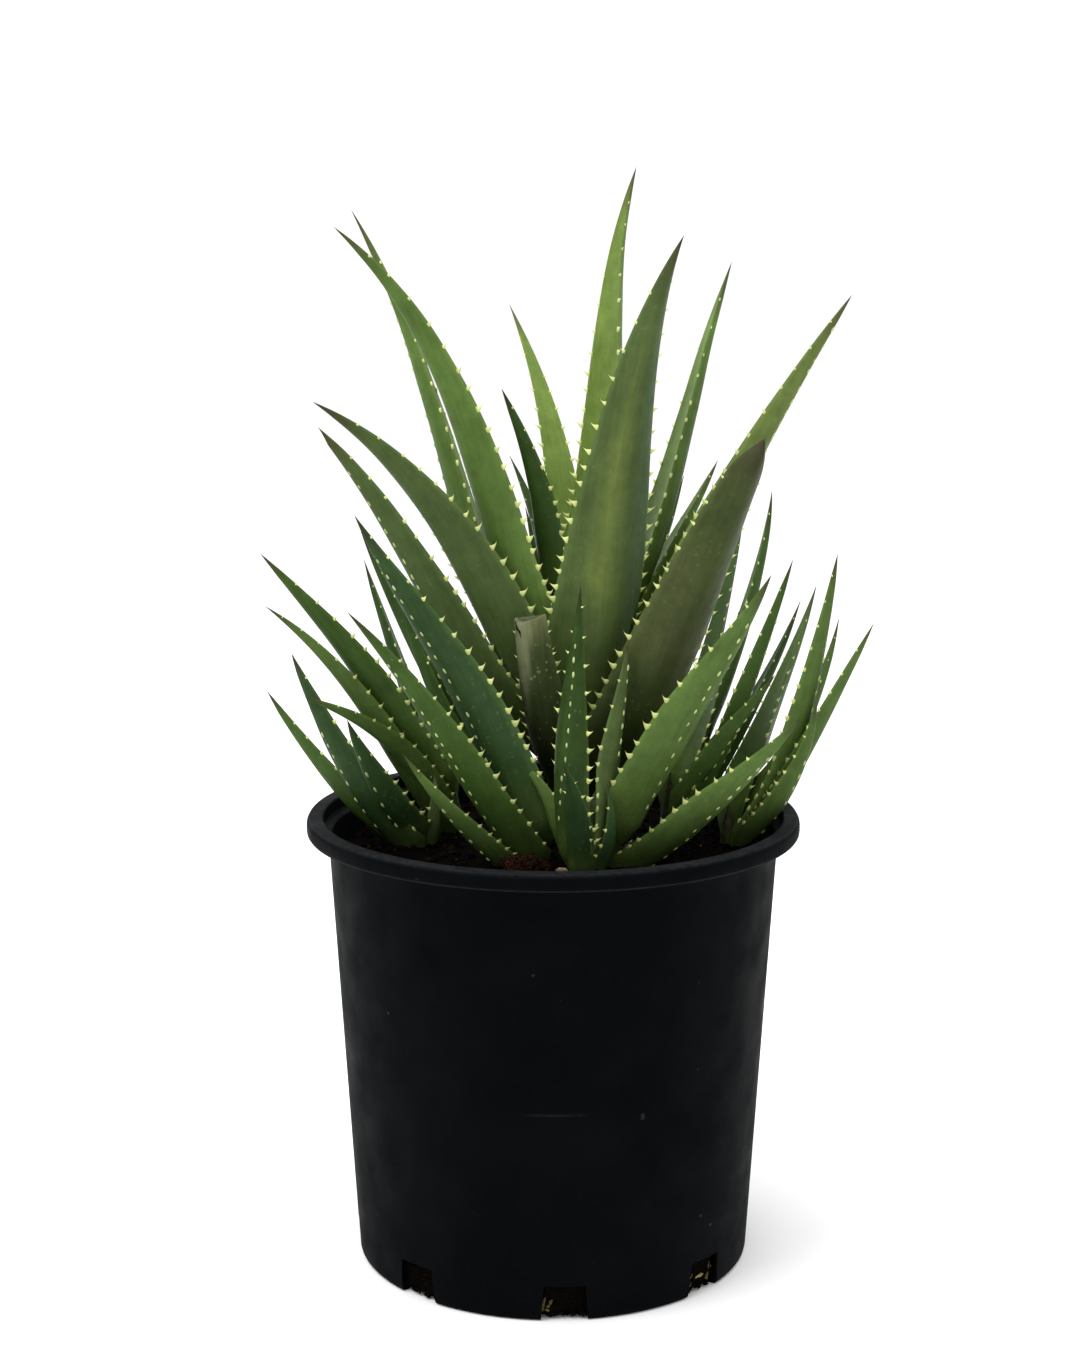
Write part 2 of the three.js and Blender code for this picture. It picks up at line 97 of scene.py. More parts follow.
LEAVES = {
    "main_01": leaf("main", -60, 56, 203, 40, (20, 14, 36), swing=8, roll=-22, tone="grey", stain=1.0),
    "main_02": leaf("main", -40, 26, 170, 38, (42, 27, 33), roll=-30, blunt=0.2, tone="olive"),
    "main_stub": leaf("main", -116, 28, 80, 21, (40, 24, 14), cut=True, blunt=0.5, tone="dry"),
    "main_03": leaf("main", 200, 70, 205, 30, (24, 21, 53), roll=15, tone="mid"),
    "main_04": leaf("main", 208, 45, 179, 31, (24, 34, 62), roll=35, tone="grey"),
    "main_15": leaf("main", 44, 60, 106, 12, (42, 34, 24), tone="deep"),
    "main_05": leaf("main", 6, 56, 198, 35, (36, 30, 37), roll=-28, tone="pale", ticks=(0.1, 0.92)),
    "main_06": leaf("main", 169, 48, 226, 27, (30, 17, 33), roll=10, tone="mid", ticks=(0.3, 0.85)),
    "main_07": leaf("main", 25, 78, 172, 23, (38, 18, 23), roll=-10, tone="mid"),
    "main_08": leaf("main", 48, 99, 178, 28, (19, 3, 22), swing=-15, tone="yellow"),
    "main_09": leaf(
        "main", 188, 42, 162, 30, (48, 31, 44), roll=25, blunt=0.05, tone="grey", ticks=(0.2, 0.9),
    ),
    "main_10": leaf("main", 26, 61, 112, 20, (29, 33, 33), roll=-15, tone="mid"),
    "main_11": leaf("main", 96, 104, 137, 16, (24, 34, 42), swing=26, tone="yellow"),
    "main_12": leaf("main", 192, 108, 83, 18, (2, 16, 28), roll=15, tone="deep"),
    "main_13": leaf("main", 132, 76, 89, 11, (4, 21, 40), tone="deep"),
    "main_14": leaf("main", 118, 59, 84, 12, (20, 24, 30), tone="deep"),
    "left_01": leaf("left_front", 205, 18, 145, 30, (15, 33, 31), roll=25, tone="blue", ticks=(0.0, 0.9)),
    "left_02": leaf("left_front", 214, 4, 133, 21, (36, 36, 46), roll=20, tone="pup", ticks=(0.0, 0.8)),
    "left_03": leaf("left_back", 190, 27, 119, 21, (32, 38, 44), roll=40, tone="pup"),
    "left_04": leaf("left_back", 200, 9, 119, 16, (32, 36, 56), roll=25, tone="bright"),
    "left_05": leaf("left_far", 190, 3, 93, 22, (43, 30, 24), roll=25, tone="blue", ticks=(0.1, 0.7)),
    "left_06": leaf("left_far", 223, 8, 61, 18, (40, 35, 24), roll=15, tone="blue", ticks=(0.1, 0.8)),
    "left_07": leaf("left_back", 215, 14, 86, 14, (24, 53, 70), roll=20, tone="bright"),
    "left_08": leaf("left_front", 161, 15, 139, 16, (36, 31, 26), roll=30, tone="deep"),
    "left_09": leaf("left_back", 145, 24, 98, 14, (24, 25, 25), roll=30, tone="deep"),
    "left_10": leaf("left_front", 175, 12, 109, 15, (37, 28, 15), roll=30, tone="deep"),
    "left_11": leaf("left_far", 172, 2, 86, 18, (56, 43, 38), roll=25, tone="pup"),
    "left_12": leaf("left_front", 221, -4, 86, 13, (56, 47, 40), roll=15, tone="bright", ticks=(0.1, 0.7)),
    "left_13": leaf("left_far", -43, 3, 30, 8, (25, 6, -2), tone="grey"),
    "front_01": leaf("front", 24, 12, 80, 17, (6, 12, 8), roll=-50, tone="grey", ticks=(0.4, 0.9)),
    "front_02": leaf("front", 200, 10, 105, 18, (8, -3, -3), roll=50, tone="deep", ticks=(0.1, 0.8)),
    "front_03": leaf("front", 171, 8, 44, 12, (18, 28, 56), roll=30, tone="bright"),
    "front_04": leaf("front", -112, 4, 48, 14, (6, 20, 44), tone="blue"),
    "front_05": leaf("front", -24, 3, 36, 7, (34, 8, -12), tone="blue"),
    "right_01": leaf(
        "right_front", -28, 21, 118, 27, (25, 34, 28), roll=-30, tone="bright", ticks=(0.05, 0.85),
    ),
    "right_02": leaf("right_front", -20, 2, 95, 22, (56, 48, 42), roll=-35, tone="bright", ticks=(0.0, 0.85)),
    "right_03": leaf("right_mid", -10, 22, 63, 15, (28, 39, 38), roll=-20, tone="pup", ticks=(0.1, 0.8)),
    "right_04": leaf("right_far", 9, 7, 121, 22, (38, 17, 12), roll=-30, tone="bright", ticks=(0.1, 0.7)),
    "right_05": leaf("right_far", 0, 4, 104, 16, (39, 30, 30), roll=-20, tone="bright"),
    "right_06": leaf("right_far", -20, 4, 68, 14, (50, 29, 10), roll=-20, tone="bright", ticks=(0.1, 0.7)),
    "right_07": leaf("right_mid", 15, 13, 114, 18, (30, 24, 22), roll=-30, tone="pup", ticks=(0.2, 0.8)),
    "right_08": leaf("right_mid", 48, 27, 130, 18, (35, 30, 9), swing=-5, roll=-40, tone="pup"),
    "right_09": leaf("right_mid", 68, 22, 139, 14, (45, 38, 29), swing=-4, roll=-25, tone="deep"),
    "right_10": leaf("right_mid", 32, 8, 108, 13, (38, 36, 27), roll=-20, tone="deep"),
    "right_11": leaf("right_far", 62, 15, 112, 14, (42, 44, 31), swing=-10, roll=-25, tone="pup"),
    "right_12": leaf("right_far", 33, 5, 101, 13, (44, 33, 16), roll=-20, tone="pup"),
    "right_13": leaf("right_mid", -26, 5, 50, 10, (22, 47, 66), roll=-10, tone="deep"),
}

# Base colours, linear: the outer face, the inner face and the tip of each tone.
TONES = {
    "grey": ((0.052, 0.081, 0.022), (0.079, 0.122, 0.037), (0.043, 0.045, 0.017)),
    "mid": ((0.072, 0.126, 0.025), (0.103, 0.163, 0.039), (0.052, 0.057, 0.020)),
    "yellow": ((0.102, 0.168, 0.029), (0.120, 0.184, 0.035), (0.050, 0.053, 0.017)),
    "pale": ((0.109, 0.152, 0.038), (0.140, 0.191, 0.054), (0.062, 0.059, 0.023)),
    "olive": ((0.038, 0.053, 0.014), (0.062, 0.084, 0.025), (0.036, 0.036, 0.014)),
    "deep": ((0.022, 0.048, 0.008), (0.033, 0.067, 0.013), (0.020, 0.020, 0.006)),
    "blue": ((0.024, 0.053, 0.015), (0.048, 0.090, 0.024), (0.031, 0.034, 0.014)),
    "pup": ((0.040, 0.079, 0.014), (0.055, 0.099, 0.020), (0.035, 0.035, 0.013)),
    "bright": ((0.066, 0.114, 0.025), (0.085, 0.138, 0.030), (0.042, 0.042, 0.015)),
    "dry": ((0.034, 0.048, 0.014), (0.048, 0.060, 0.020), (0.128, 0.140, 0.059)),
}
CREAM = (0.62, 0.66, 0.26)
CREAM_BASE = (0.30, 0.40, 0.10)
HORN_TIP = (0.34, 0.27, 0.12)
# Painted shade: leaf and stem colours are darkened towards the soil, to these shares at the soil edge and
# back to full colour at these heights in mm.
STEM_PAINTED_SHADE = 0.3
PUP_PAINTED_SHADE, PUP_PAINTED_SHADE_TOP = 0.5, 205
MAIN_PAINTED_SHADE, MAIN_PAINTED_SHADE_TOP = 0.22, 262


def mix(a, b, t):
    """Colours or vectors a and b mixed by the share t, which may be an array."""
    t = np.asarray(t)[..., None]
    return np.asarray(a) * (1 - t) + np.asarray(b) * t


def smooth(x, low, high):
    t = np.clip((np.asarray(x, float) - low) / (high - low), 0, 1)
    return t * t * (3 - 2 * t)


# ---- Meshes ----


class Mesh:
    """Points, faces and two attributes that pieces are gathered in: tint, a base colour, and grain,
    a place on the surface in metres across and along, with the share of horn in the third number."""

    def __init__(self):
        self.points, self.tints, self.grains, self.faces = [], [], [], []
        self.count = 0

    def add(self, points, faces, tint, grain=None):
        points = np.asarray(points, float).reshape(-1, 3)
        tint = np.broadcast_to(np.asarray(tint, float), (len(points), 3))
        grain = points if grain is None else grain
        self.faces += [tuple(i + self.count for i in face) for face in faces]
        self.points.append(points)
        self.tints.append(tint)
        self.grains.append(np.asarray(grain, float).reshape(-1, 3))
        self.count += len(points)

    def build(self, name, material, sharp=math.radians(50)):
        mesh = bpy.data.meshes.new(name)
        mesh.from_pydata(np.concatenate(self.points).tolist(), [], self.faces)
        mesh.polygons.foreach_set("use_smooth", [True] * len(mesh.polygons))
        mesh.set_sharp_from_angle(angle=sharp)
        tint = mesh.color_attributes.new("tint", "FLOAT_COLOR", "POINT")
        rgba = np.concatenate([np.concatenate(self.tints), np.ones((self.count, 1))], 1)
        tint.data.foreach_set("color", rgba.astype(np.float32).ravel())
        grain = mesh.attributes.new("grain", "FLOAT_VECTOR", "POINT")
        grain.data.foreach_set("vector", np.concatenate(self.grains).astype(np.float32).ravel())
        mesh.materials.append(material)
        mesh.validate()
        obj = bpy.data.objects.new(name, mesh)
        bpy.context.scene.collection.objects.link(obj)
        return obj


def tube_faces(rings, sides, first_cap=True, last_cap=True):
    """Faces of a tube of rings, wound so that rings that turn anticlockwise about its course face out."""
    faces = []
    for i in range(rings - 1):
        for k in range(sides):
            a, b = i * sides + k, i * sides + (k + 1) % sides
            faces.append((a, b, b + sides, a + sides))
    if first_cap:
        faces.append(tuple(range(sides - 1, -1, -1)))
    if last_cap:
        faces.append(tuple((rings - 1) * sides + k for k in range(sides)))
    return faces


def tube(course, radii, sides=6, squash=1.0, wobble=0.0, rng=None):
    """A tapered tube along a course, as points and faces."""
    course = np.asarray(course, float)
    points = []
    for i, centre in enumerate(course):
        along = course[min(i + 1, len(course) - 1)] - course[max(i - 1, 0)]
        along /= np.linalg.norm(along)
        side = np.cross(along, (0.0, 0.0, 1.0) if abs(along[2]) < 0.9 else (0.0, 1.0, 0.0))
        side /= np.linalg.norm(side)
        up = np.cross(side, along)
        for k in range(sides):
            angle = 2 * math.pi * k / sides
            r = radii[i] * (1 + (rng.uniform(-wobble, wobble) if rng else 0))
            points.append(centre + r * (math.cos(angle) * up + squash * math.sin(angle) * side))
    return points, tube_faces(len(course), sides)


# ---- Leaves ----

LEAF_STEP = 2.2
FACE_POINTS = 11
FULL_WIDTH_FROM_TIP, TAPER_POWER = 0.85, 1.25
THICKEST_FROM_TIP, THICKNESS_POWER = 0.7, 0.8
THIN_LEAF, THICKNESS_SHARE = 2.5, 0.2
CHANNEL, CLASP, CLASP_LENGTH, ROLL_LENGTH = 0.1, 0.15, 0.25, 0.5
MARGIN_THICKNESS = 0.45
ROSETTE_SPECK_AREA, OFFSET_SPECK_AREA = 1100, 620
SHEATH_RINGS, SHEATH_DROP, SHEATH_FOOT = 4, 14, 0.3


def lean_at(lean, s):
    base, middle, tip = lean
    return base * (1 - s) * (1 - 2 * s) + middle * 4 * s * (1 - s) + tip * s * (2 * s - 1)


class LeafShape:
    """The course and the cross-sections of one leaf, in millimetres."""

    def __init__(self, spec):
        self.spec = spec
        x, y, radius, _ = STEMS[spec["stem"]]
        turn = math.radians(spec["turn"])
        start = (x + radius * math.cos(turn), y + radius * math.sin(turn), SOIL_EDGE + spec["height"])
        steps = 200
        middles = (np.arange(steps) + 0.5) / steps
        moves = np.array([self.along(s) for s in middles]) * spec["length"] / steps
        self.course = np.array(start) + np.concatenate([np.zeros((1, 3)), np.cumsum(moves, 0)])
        self.stops = np.linspace(0, 1, steps + 1)

    def heading(self, s):
        return math.radians(self.spec["turn"] + self.spec["swing"] * s)

    def along(self, s):
        lean = math.radians(lean_at(self.spec["lean"], s))
        turn = self.heading(s)
        return np.array([math.sin(lean) * math.cos(turn), math.sin(lean) * math.sin(turn), math.cos(lean)])

    def centre(self, s):
        return np.array([np.interp(s, self.stops, self.course[:, i]) for i in range(3)])

    def axes(self, s):
        along = self.along(s)
        turn = self.heading(s)
        roll = math.radians(self.spec["roll"]) * float(smooth(s, 0, ROLL_LENGTH))
        flat = np.array([-math.sin(turn), math.cos(turn), 0.0])
        across = flat * math.cos(roll) + np.cross(along, flat) * math.sin(roll)
        across += along * along.dot(flat) * (1 - math.cos(roll))
        return along, across, np.cross(along, across)

    def width(self, s):
        left = 1 - s * (1 - self.spec["blunt"])
        share = min(left / FULL_WIDTH_FROM_TIP, 1)
        width = self.spec["width"] * (1 - (1 - share) ** TAPER_POWER)
        if self.spec["blunt"] and not self.spec["cut"]:
            width *= math.sqrt(max(1 - float(smooth(s, 0.86, 1.0)) ** 2, 0.0))
        return max(width, 0.25)

    def thickness(self, s):
        left = 1 - s * (1 - self.spec["blunt"])
        full = THIN_LEAF + self.spec["width"] * THICKNESS_SHARE
        thick = full * min(left / THICKEST_FROM_TIP, 1) ** THICKNESS_POWER
        return min(thick, self.width(s) * 0.6)

    def place(self, s, u, outer):
        """A point of the outer face, outer 1, or the inner face, outer 0, at u from margin to margin."""
        _, across, inward = self.axes(s)
        half = self.width(s) / 2
        clasp = max(0, 1 - s / CLASP_LENGTH)
        forward = 2 * half * (CHANNEL + CLASP * clasp) * u * u
        rim = math.sqrt(max(1 - u * u, 0)) * min(MARGIN_THICKNESS, half * 0.3)
        depth = self.thickness(s) * (1 - u * u) ** 0.9 + rim
        offset = forward - depth if outer else forward + rim
        return self.centre(s) + across * u * half + inward * offset


def leaf_noise(place, scale, seed):
    return noise.noise(Vector(place) * scale + Vector((seed, 0.0, 0.0)))


def leaf_body(mesh, shape, rng):
    """The blade of one leaf, with its colours and its painted shade."""
    spec = shape.spec
    rings = max(14, int(spec["length"] / LEAF_STEP))
    ends = np.linspace(0, math.pi, FACE_POINTS + 2)
    around = [(-math.cos(a), 1) for a in ends[:-1]] + [(math.cos(a), 0) for a in ends[:-1]]
    seed = rng.uniform(0, 100)
    outer, inner, tip = (np.array(c) for c in TONES[spec["tone"]])
    top = 1.0 if spec["cut"] else 0.992
    points, tints, grains = [], [], []
    main = spec["stem"] == "main"
    # How dark the painted shade is at the soil, and the height in mm where it ends.
    painted_shade_depth, painted_shade_top = (MAIN_PAINTED_SHADE, MAIN_PAINTED_SHADE_TOP) if main else (PUP_PAINTED_SHADE, PUP_PAINTED_SHADE_TOP)
    x, y, _, _ = STEMS[spec["stem"]]
    for i in range(-SHEATH_RINGS, rings + 1):
        s = top * max(i, 0) / rings
        sunk = max(-i, 0) / SHEATH_RINGS
        for u, side in around:
            p = shape.place(s, u, side)
            if sunk:
                foot = np.array((x, y, shape.centre(0)[2] - SHEATH_DROP))
                p = p + (foot + (p - shape.centre(0)) * SHEATH_FOOT - p) * sunk
            wave = leaf_noise(p, 0.035, seed) * 0.35 * min(1, shape.width(s) / 12)
            p = p + shape.axes(s)[2] * wave
            mottle = leaf_noise(p, 0.05, seed + 9) * 0.5 + leaf_noise(p, 0.16, seed + 17) * 0.25
            colour = mix(inner, outer, side) * (1 + 0.28 * mottle)
            margin = float(smooth(abs(u), 0.86, 1.0))
            colour = mix(colour, np.array(inner) * 1.25, margin * 0.5)
            base = 1 - float(smooth(s, 0.0, 0.22))
            colour = mix(colour, (0.11, 0.16, 0.035), base * (0.45 if main else 0.35))
            end = float(smooth(s, 0.84, 0.98))
            colour = mix(colour, tip, end * 0.8)
            if not spec["cut"]:
                colour = mix(colour, (0.030, 0.020, 0.015), float(smooth(s, 0.965, 0.99)) * 0.85)
            else:
                patch = float(smooth(s - 0.7 * abs(u + 0.3), 0.4, 0.6)) * side
                colour = mix(colour, (0.150, 0.165, 0.085), patch * (0.8 + mottle))
                p = p + shape.axes(s)[0] * (1.4 * u * float(smooth(s, 0.8, 1.0)))
            # A pale stain along the leaf, and painted shade on its other side.
            if spec.get("stain"):
                stripe = math.exp(-(((u + 0.22) / 0.30) ** 2)) * float(smooth(s, 0.12, 0.3))
                stripe *= 1 - float(smooth(s, 0.62, 0.85))
                patch = 0.55 + 0.9 * leaf_noise(p, 0.045, 3.0)
                colour = mix(colour, (0.125, 0.165, 0.036), min(max(stripe * patch, 0), 0.85))
                # Painted shade: the side of the leaf at positive u is darkened towards a bluish green.
                colour = mix(colour, (0.042, 0.085, 0.030), 0.6 * float(smooth(u, 0.25, 0.8)))
            if spec["tone"] == "olive":
                brown = float(smooth(leaf_noise(p, 0.03, seed + 30), -0.1, 0.5))
                colour = mix(colour, (0.090, 0.082, 0.038), 0.22 * brown)
            # Painted shade: the colour darkens towards the soil, where shade falls between the leaves.
            colour = colour * (painted_shade_depth + (1 - painted_shade_depth) * float(smooth(p[2], SOIL_EDGE, painted_shade_top)))
            points.append(p)
            tints.append(np.clip(colour, 0.002, 1))
            grains.append((u * shape.width(s) / 2 * MM + seed, s * spec["length"] * MM, 0))
    sides = len(around)
    rings += SHEATH_RINGS
    faces = tube_faces(rings + 1, sides, last_cap=False)
    if not spec["cut"]:
        points.append(shape.centre(1.0))
        tints.append(np.array((0.04, 0.028, 0.02)))
        grains.append((seed, spec["length"] * MM, 0))
        last = rings * sides
        faces += [(last + k, last + (k + 1) % sides, len(points) - 1) for k in range(sides)]
    else:
        rim = np.array(points[-sides:])
        middle = rim.mean(0)
        for share, lift in ((0.93, 0.5), (0.78, 0.1), (0.45, -0.9), (0.12, -1.2)):
            for corner in rim:
                height = lift + 0.35 * leaf_noise(corner, 0.9, seed)
                points.append(middle + (corner - middle) * share + shape.axes(1.0)[0] * height)
                tints.append(mix((0.035, 0.030, 0.016), (0.150, 0.160, 0.085), share))
                grains.append((seed, spec["length"] * MM, 0))
        first = rings * sides
        faces += [tuple(i + first for i in face) for face in tube_faces(5, sides, first_cap=False)]
    mesh.add(np.array(points) * MM, faces, tints, grains)


def horn(mesh, root, out, along, thin, length, base, rng):
    """One tooth: a flattened cone with a flared foot that hooks towards the leaf's tip."""
    levels = (0.0, 0.12, 0.3, 0.55, 0.8, 1.0)
    sides = 8
    tone = rng.uniform(0.85, 1.1)
    points, tints, grains = [], [], []
    for t in levels:
        spread = (1 - t) ** 1.7 * 0.92 + 0.08 * (1 - t)
        centre = root + out * (t * length - 0.5) + along * (length * 0.5 * t * t)
        for k in range(sides):
            a = 2 * math.pi * k / sides
            p = centre + along * math.cos(a) * base * spread
            p = p + thin * math.sin(a) * (0.28 + 0.22 * base) * spread
            points.append(p)
            colour = mix(CREAM_BASE, CREAM, float(smooth(t, 0.0, 0.25)))
            colour = mix(colour, HORN_TIP, 0.7 * float(smooth(t, 0.8, 1.0)))
            tints.append(colour * tone)
            grains.append((*(np.array(p[:2]) * MM), 1))
    faces = tube_faces(len(levels), sides)
    if np.cross(along, thin).dot(out) < 0:
        faces = [face[::-1] for face in faces]
    mesh.add(np.array(points) * MM, faces, tints, grains)


def leaf_teeth(mesh, shape, rng):
    """A row of teeth on each margin, close together low down and far apart near the tip."""
    spec = shape.spec
    small = 0.72 + 0.28 * float(smooth(spec["width"], 8, 30))
    last = 0.97 if spec["cut"] else 0.93
    for sign in (-1, 1):
        at = rng.uniform(2.0, 6.0)
        while at < spec["length"] * last:
            s = at / spec["length"]
            along, across, inward = shape.axes(s)
            out = across * sign + inward * 0.35
            out = out / np.linalg.norm(out)
            thin = np.cross(along, out)
            grow = 0.6 + 0.4 * float(smooth(s, 0.0, 0.18))
            fade = 1 - 0.5 * float(smooth(s, 0.35, 0.95))
            length = 4.0 * small * grow * fade * rng.uniform(0.8, 1.15)
            base = max(1.75 * small * fade * rng.uniform(0.85, 1.15), 0.6)
            root = shape.place(s, 0.985 * sign, 0) - inward * min(MARGIN_THICKNESS, 0.3)
            horn(mesh, root, out, along, thin, length, base, rng)
            gap = 5.8 + 5.2 * float(smooth(s, 0.15, 0.95))
            at += gap * (0.75 + 0.25 * small) * rng.uniform(0.8, 1.25)


def bump(mesh, root, out, along, across, size, colour):
    """A low pale swelling on a leaf's face, longer along the leaf."""
    levels = ((0.0, 1.0), (0.45, 0.86), (0.8, 0.5), (0.95, 0.18))
    sides = 8
    points = []
    for height, spread in levels:
        for k in range(sides):
            a = 2 * math.pi * k / sides
            p = root + out * ((height - 0.35) * 0.55 * size)
            p = p + along * math.cos(a) * size * 1.2 * spread + across * math.sin(a) * size * 0.45 * spread
            points.append(p)
    faces = tube_faces(len(levels), sides)
    if np.cross(along, across).dot(out) < 0:
        faces = [face[::-1] for face in faces]
    points = np.array(points) * MM
    grain = points.copy()
    grain[:, 2] = 1
    mesh.add(points, faces, colour, grain)


def leaf_ticks(mesh, shape, rng):
    """A row of pale dashes on the outer face, on the side turned to the front."""
    spec = shape.spec
    low, high = spec["ticks"]
    facing = 1 if spec["roll"] > 0 else -1
    at = spec["length"] * low + rng.uniform(3, 6)
    while at < spec["length"] * high:
        s = at / spec["length"]
        u = 0.12 * facing + rng.uniform(-0.05, 0.05)
        along, across, inward = shape.axes(s)
        size = rng.uniform(0.85, 1.25)
        colour = np.array((0.42, 0.50, 0.20)) * rng.uniform(0.75, 1.05)
        bump(mesh, shape.place(s, u, 1), -inward, along, across, size, colour)
        at += 6.2 * rng.uniform(0.75, 1.3)


def leaf_specks(mesh, shape, rng, count):
    """Tiny pale specks scattered over both faces."""
    for _ in range(count):
        s, u = rng.uniform(0.08, 0.85), rng.uniform(-0.85, 0.85)
        side = rng.random() < 0.75
        along, across, inward = shape.axes(s)
        colour = np.array((0.15, 0.20, 0.08)) * rng.uniform(0.5, 1.1)
        out = -inward if side else inward
        bump(mesh, shape.place(s, u, side), out, along, across, rng.uniform(0.22, 0.42), colour)


# Course of the split below the edge of the cut leaf: share of its length, and place from margin to margin.
CRACK_COURSE = ((0.995, -0.62), (0.965, -0.45), (0.955, -0.25), (0.925, -0.2))


def crack(mesh, shape):
    """A short dark split below the edge of the cut leaf."""
    course = [shape.place(s, u, 1) for s, u in CRACK_COURSE]
    points, faces = tube(course, (0.2, 0.6, 0.45, 0.15), sides=6)
    mesh.add(np.array(points) * MM, faces, (0.006, 0.005, 0.004))


def make_leaf(name, spec, materials):
    rng = random.Random(f"{SEED} {name}")
    shape = LeafShape(spec)
    mesh = Mesh()
    leaf_body(mesh, shape, rng)
    leaf_teeth(mesh, shape, rng)
    if "ticks" in spec:
        leaf_ticks(mesh, shape, rng)
    sparsity = ROSETTE_SPECK_AREA if spec["stem"] == "main" else OFFSET_SPECK_AREA
    leaf_specks(mesh, shape, rng, int(spec["length"] * spec["width"] / sparsity))
    if spec["cut"]:
        crack(mesh, shape)
    slot = "dry_leaf" if spec["cut"] else "rosette_leaf" if spec["stem"] == "main" else "offset_leaf"
    obj = mesh.build(f"aloe_leaf_{name}", materials[slot])
    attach(obj, "root")
    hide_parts(f"leaf_{name}")
    return obj


# ---- Stems ----


def make_stem(name, spec, material):
    """A stem ringed with the scars of old leaves, with painted shade towards the soil."""
    x, y, radius, height = spec
    rng = random.Random(f"{SEED} stem {name}")
    bottom, top = SOIL_EDGE - STEM_DEPTH, SOIL_EDGE + height
    rings, sides = max(12, int((top - bottom) / 2)), 20
    points, tints = [], []
    for i in range(rings + 1):
        t = i / rings
        z = bottom + (top - bottom) * t
        taper = 1 - 0.9 * float(smooth(t, 0.55, 1.0)) ** 1.5
        scar = 0.05 * math.sin(z * 1.4)
        for k in range(sides):
            a = 2 * math.pi * k / sides
            rough = noise.noise(Vector((x + math.cos(a) * 3, y + math.sin(a) * 3, z * 0.3)))
            r = radius * taper * (0.94 + scar + 0.06 * rough)
            points.append((x + r * math.cos(a), y + r * math.sin(a), z))
            # Painted shade: the stem darkens towards the soil.
            painted_shade = STEM_PAINTED_SHADE + (1 - STEM_PAINTED_SHADE) * float(smooth(z, SOIL_EDGE, MAIN_PAINTED_SHADE_TOP))
            ring = float(smooth(scar, 0.0, 0.05)) * rng.uniform(0.5, 1)
            tints.append(mix((0.075, 0.095, 0.030), (0.040, 0.032, 0.016), ring) * painted_shade)
    mesh = Mesh()
    mesh.add(np.array(points) * MM, tube_faces(rings + 1, sides), tints)
    node = "main_stem" if name == "main" else f"offset_crown_{name}"
    obj = mesh.build(f"aloe_{node}", material)
    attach(obj, "root")
    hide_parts(node)


# ---- Materials ----


class Nodes:
    """A short way to wire a material's nodes."""

    def __init__(self, name):
        self.material = bpy.data.materials.new(name)
        self.material.use_nodes = True
        self.tree = self.material.node_tree
        self.tree.nodes.clear()
        self.shader = self.tree.nodes.new("ShaderNodeBsdfPrincipled")
        output = self.tree.nodes.new("ShaderNodeOutputMaterial")
        self.link(self.shader.outputs[0], output.inputs["Surface"])

    def link(self, source, target):
        self.tree.links.new(source, target)

    def put(self, value, socket):
        if isinstance(value, bpy.types.NodeSocket):
            self.link(value, socket)
        elif value is not None:
            socket.default_value = value

    def attribute(self, name):
        node = self.tree.nodes.new("ShaderNodeAttribute")
        node.attribute_name = name
        return node

    def objects(self):
        return self.tree.nodes.new("ShaderNodeTexCoord").outputs["Object"]

    def scaled(self, vector, scale):
        node = self.tree.nodes.new("ShaderNodeMapping")
        self.link(vector, node.inputs["Vector"])
        node.inputs["Scale"].default_value = scale
        return node.outputs[0]

    def noise(self, vector, scale, detail=4.0, rough=0.55):
        node = self.tree.nodes.new("ShaderNodeTexNoise")
        self.link(vector, node.inputs["Vector"])
        node.inputs["Scale"].default_value = scale
        node.inputs["Detail"].default_value = detail
        node.inputs["Roughness"].default_value = rough
        return node.outputs["Fac"]

    def spots(self, vector, scale, radius):
        """1 in scattered spots of a radius in cells, and 0 elsewhere."""
        node = self.tree.nodes.new("ShaderNodeTexVoronoi")
        self.link(vector, node.inputs["Vector"])
        node.inputs["Scale"].default_value = scale
        return self.remap(node.outputs["Distance"], radius, radius * 0.5, 0.0, 1.0)

    def remap(self, value, low, high, to_low, to_high):
        node = self.tree.nodes.new("ShaderNodeMapRange")
        self.link(value, node.inputs["Value"])
        for key, number in zip(("From Min", "From Max", "To Min", "To Max"), (low, high, to_low, to_high)):
            node.inputs[key].default_value = number
        return node.outputs[0]

    def math(self, operation, a, b):
        node = self.tree.nodes.new("ShaderNodeMath")
        node.operation = operation
        self.put(a, node.inputs[0])
        self.put(b, node.inputs[1])
        return node.outputs[0]

    def mix(self, a, b, share, blend="MIX"):
        node = self.tree.nodes.new("ShaderNodeMix")
        node.data_type = "RGBA"
        node.blend_type = blend
        self.put(share, node.inputs["Factor"])
        self.put((*a, 1) if isinstance(a, tuple) else a, node.inputs[6])
        self.put((*b, 1) if isinstance(b, tuple) else b, node.inputs[7])
        return node.outputs[2]

    def near(self, split, marked):
        """1 inside a small box about a place, given as centre and half size, and 0 outside."""
        share = None
        for axis, (centre, half) in enumerate(marked):
            away = self.math("ABSOLUTE", self.math("SUBTRACT", split.outputs[axis], centre), None)
            inside = self.remap(away, half, half * 0.6, 0.0, 1.0)
            share = inside if share is None else self.math("MULTIPLY", share, inside)
        return share

    def bump(self, height, distance, strength=1.0, before=None):
        node = self.tree.nodes.new("ShaderNodeBump")
        self.link(height, node.inputs["Height"])
        node.inputs["Distance"].default_value = distance
        node.inputs["Strength"].default_value = strength
        if before is not None:
            self.link(before, node.inputs["Normal"])
        return node.outputs[0]

    def finish(self, colour, roughness, normal, specular):
        self.link(colour, self.shader.inputs["Base Color"])
        self.link(roughness, self.shader.inputs["Roughness"])
        self.link(normal, self.shader.inputs["Normal"])
        self.shader.inputs["Specular IOR Level"].default_value = specular
        return self.material


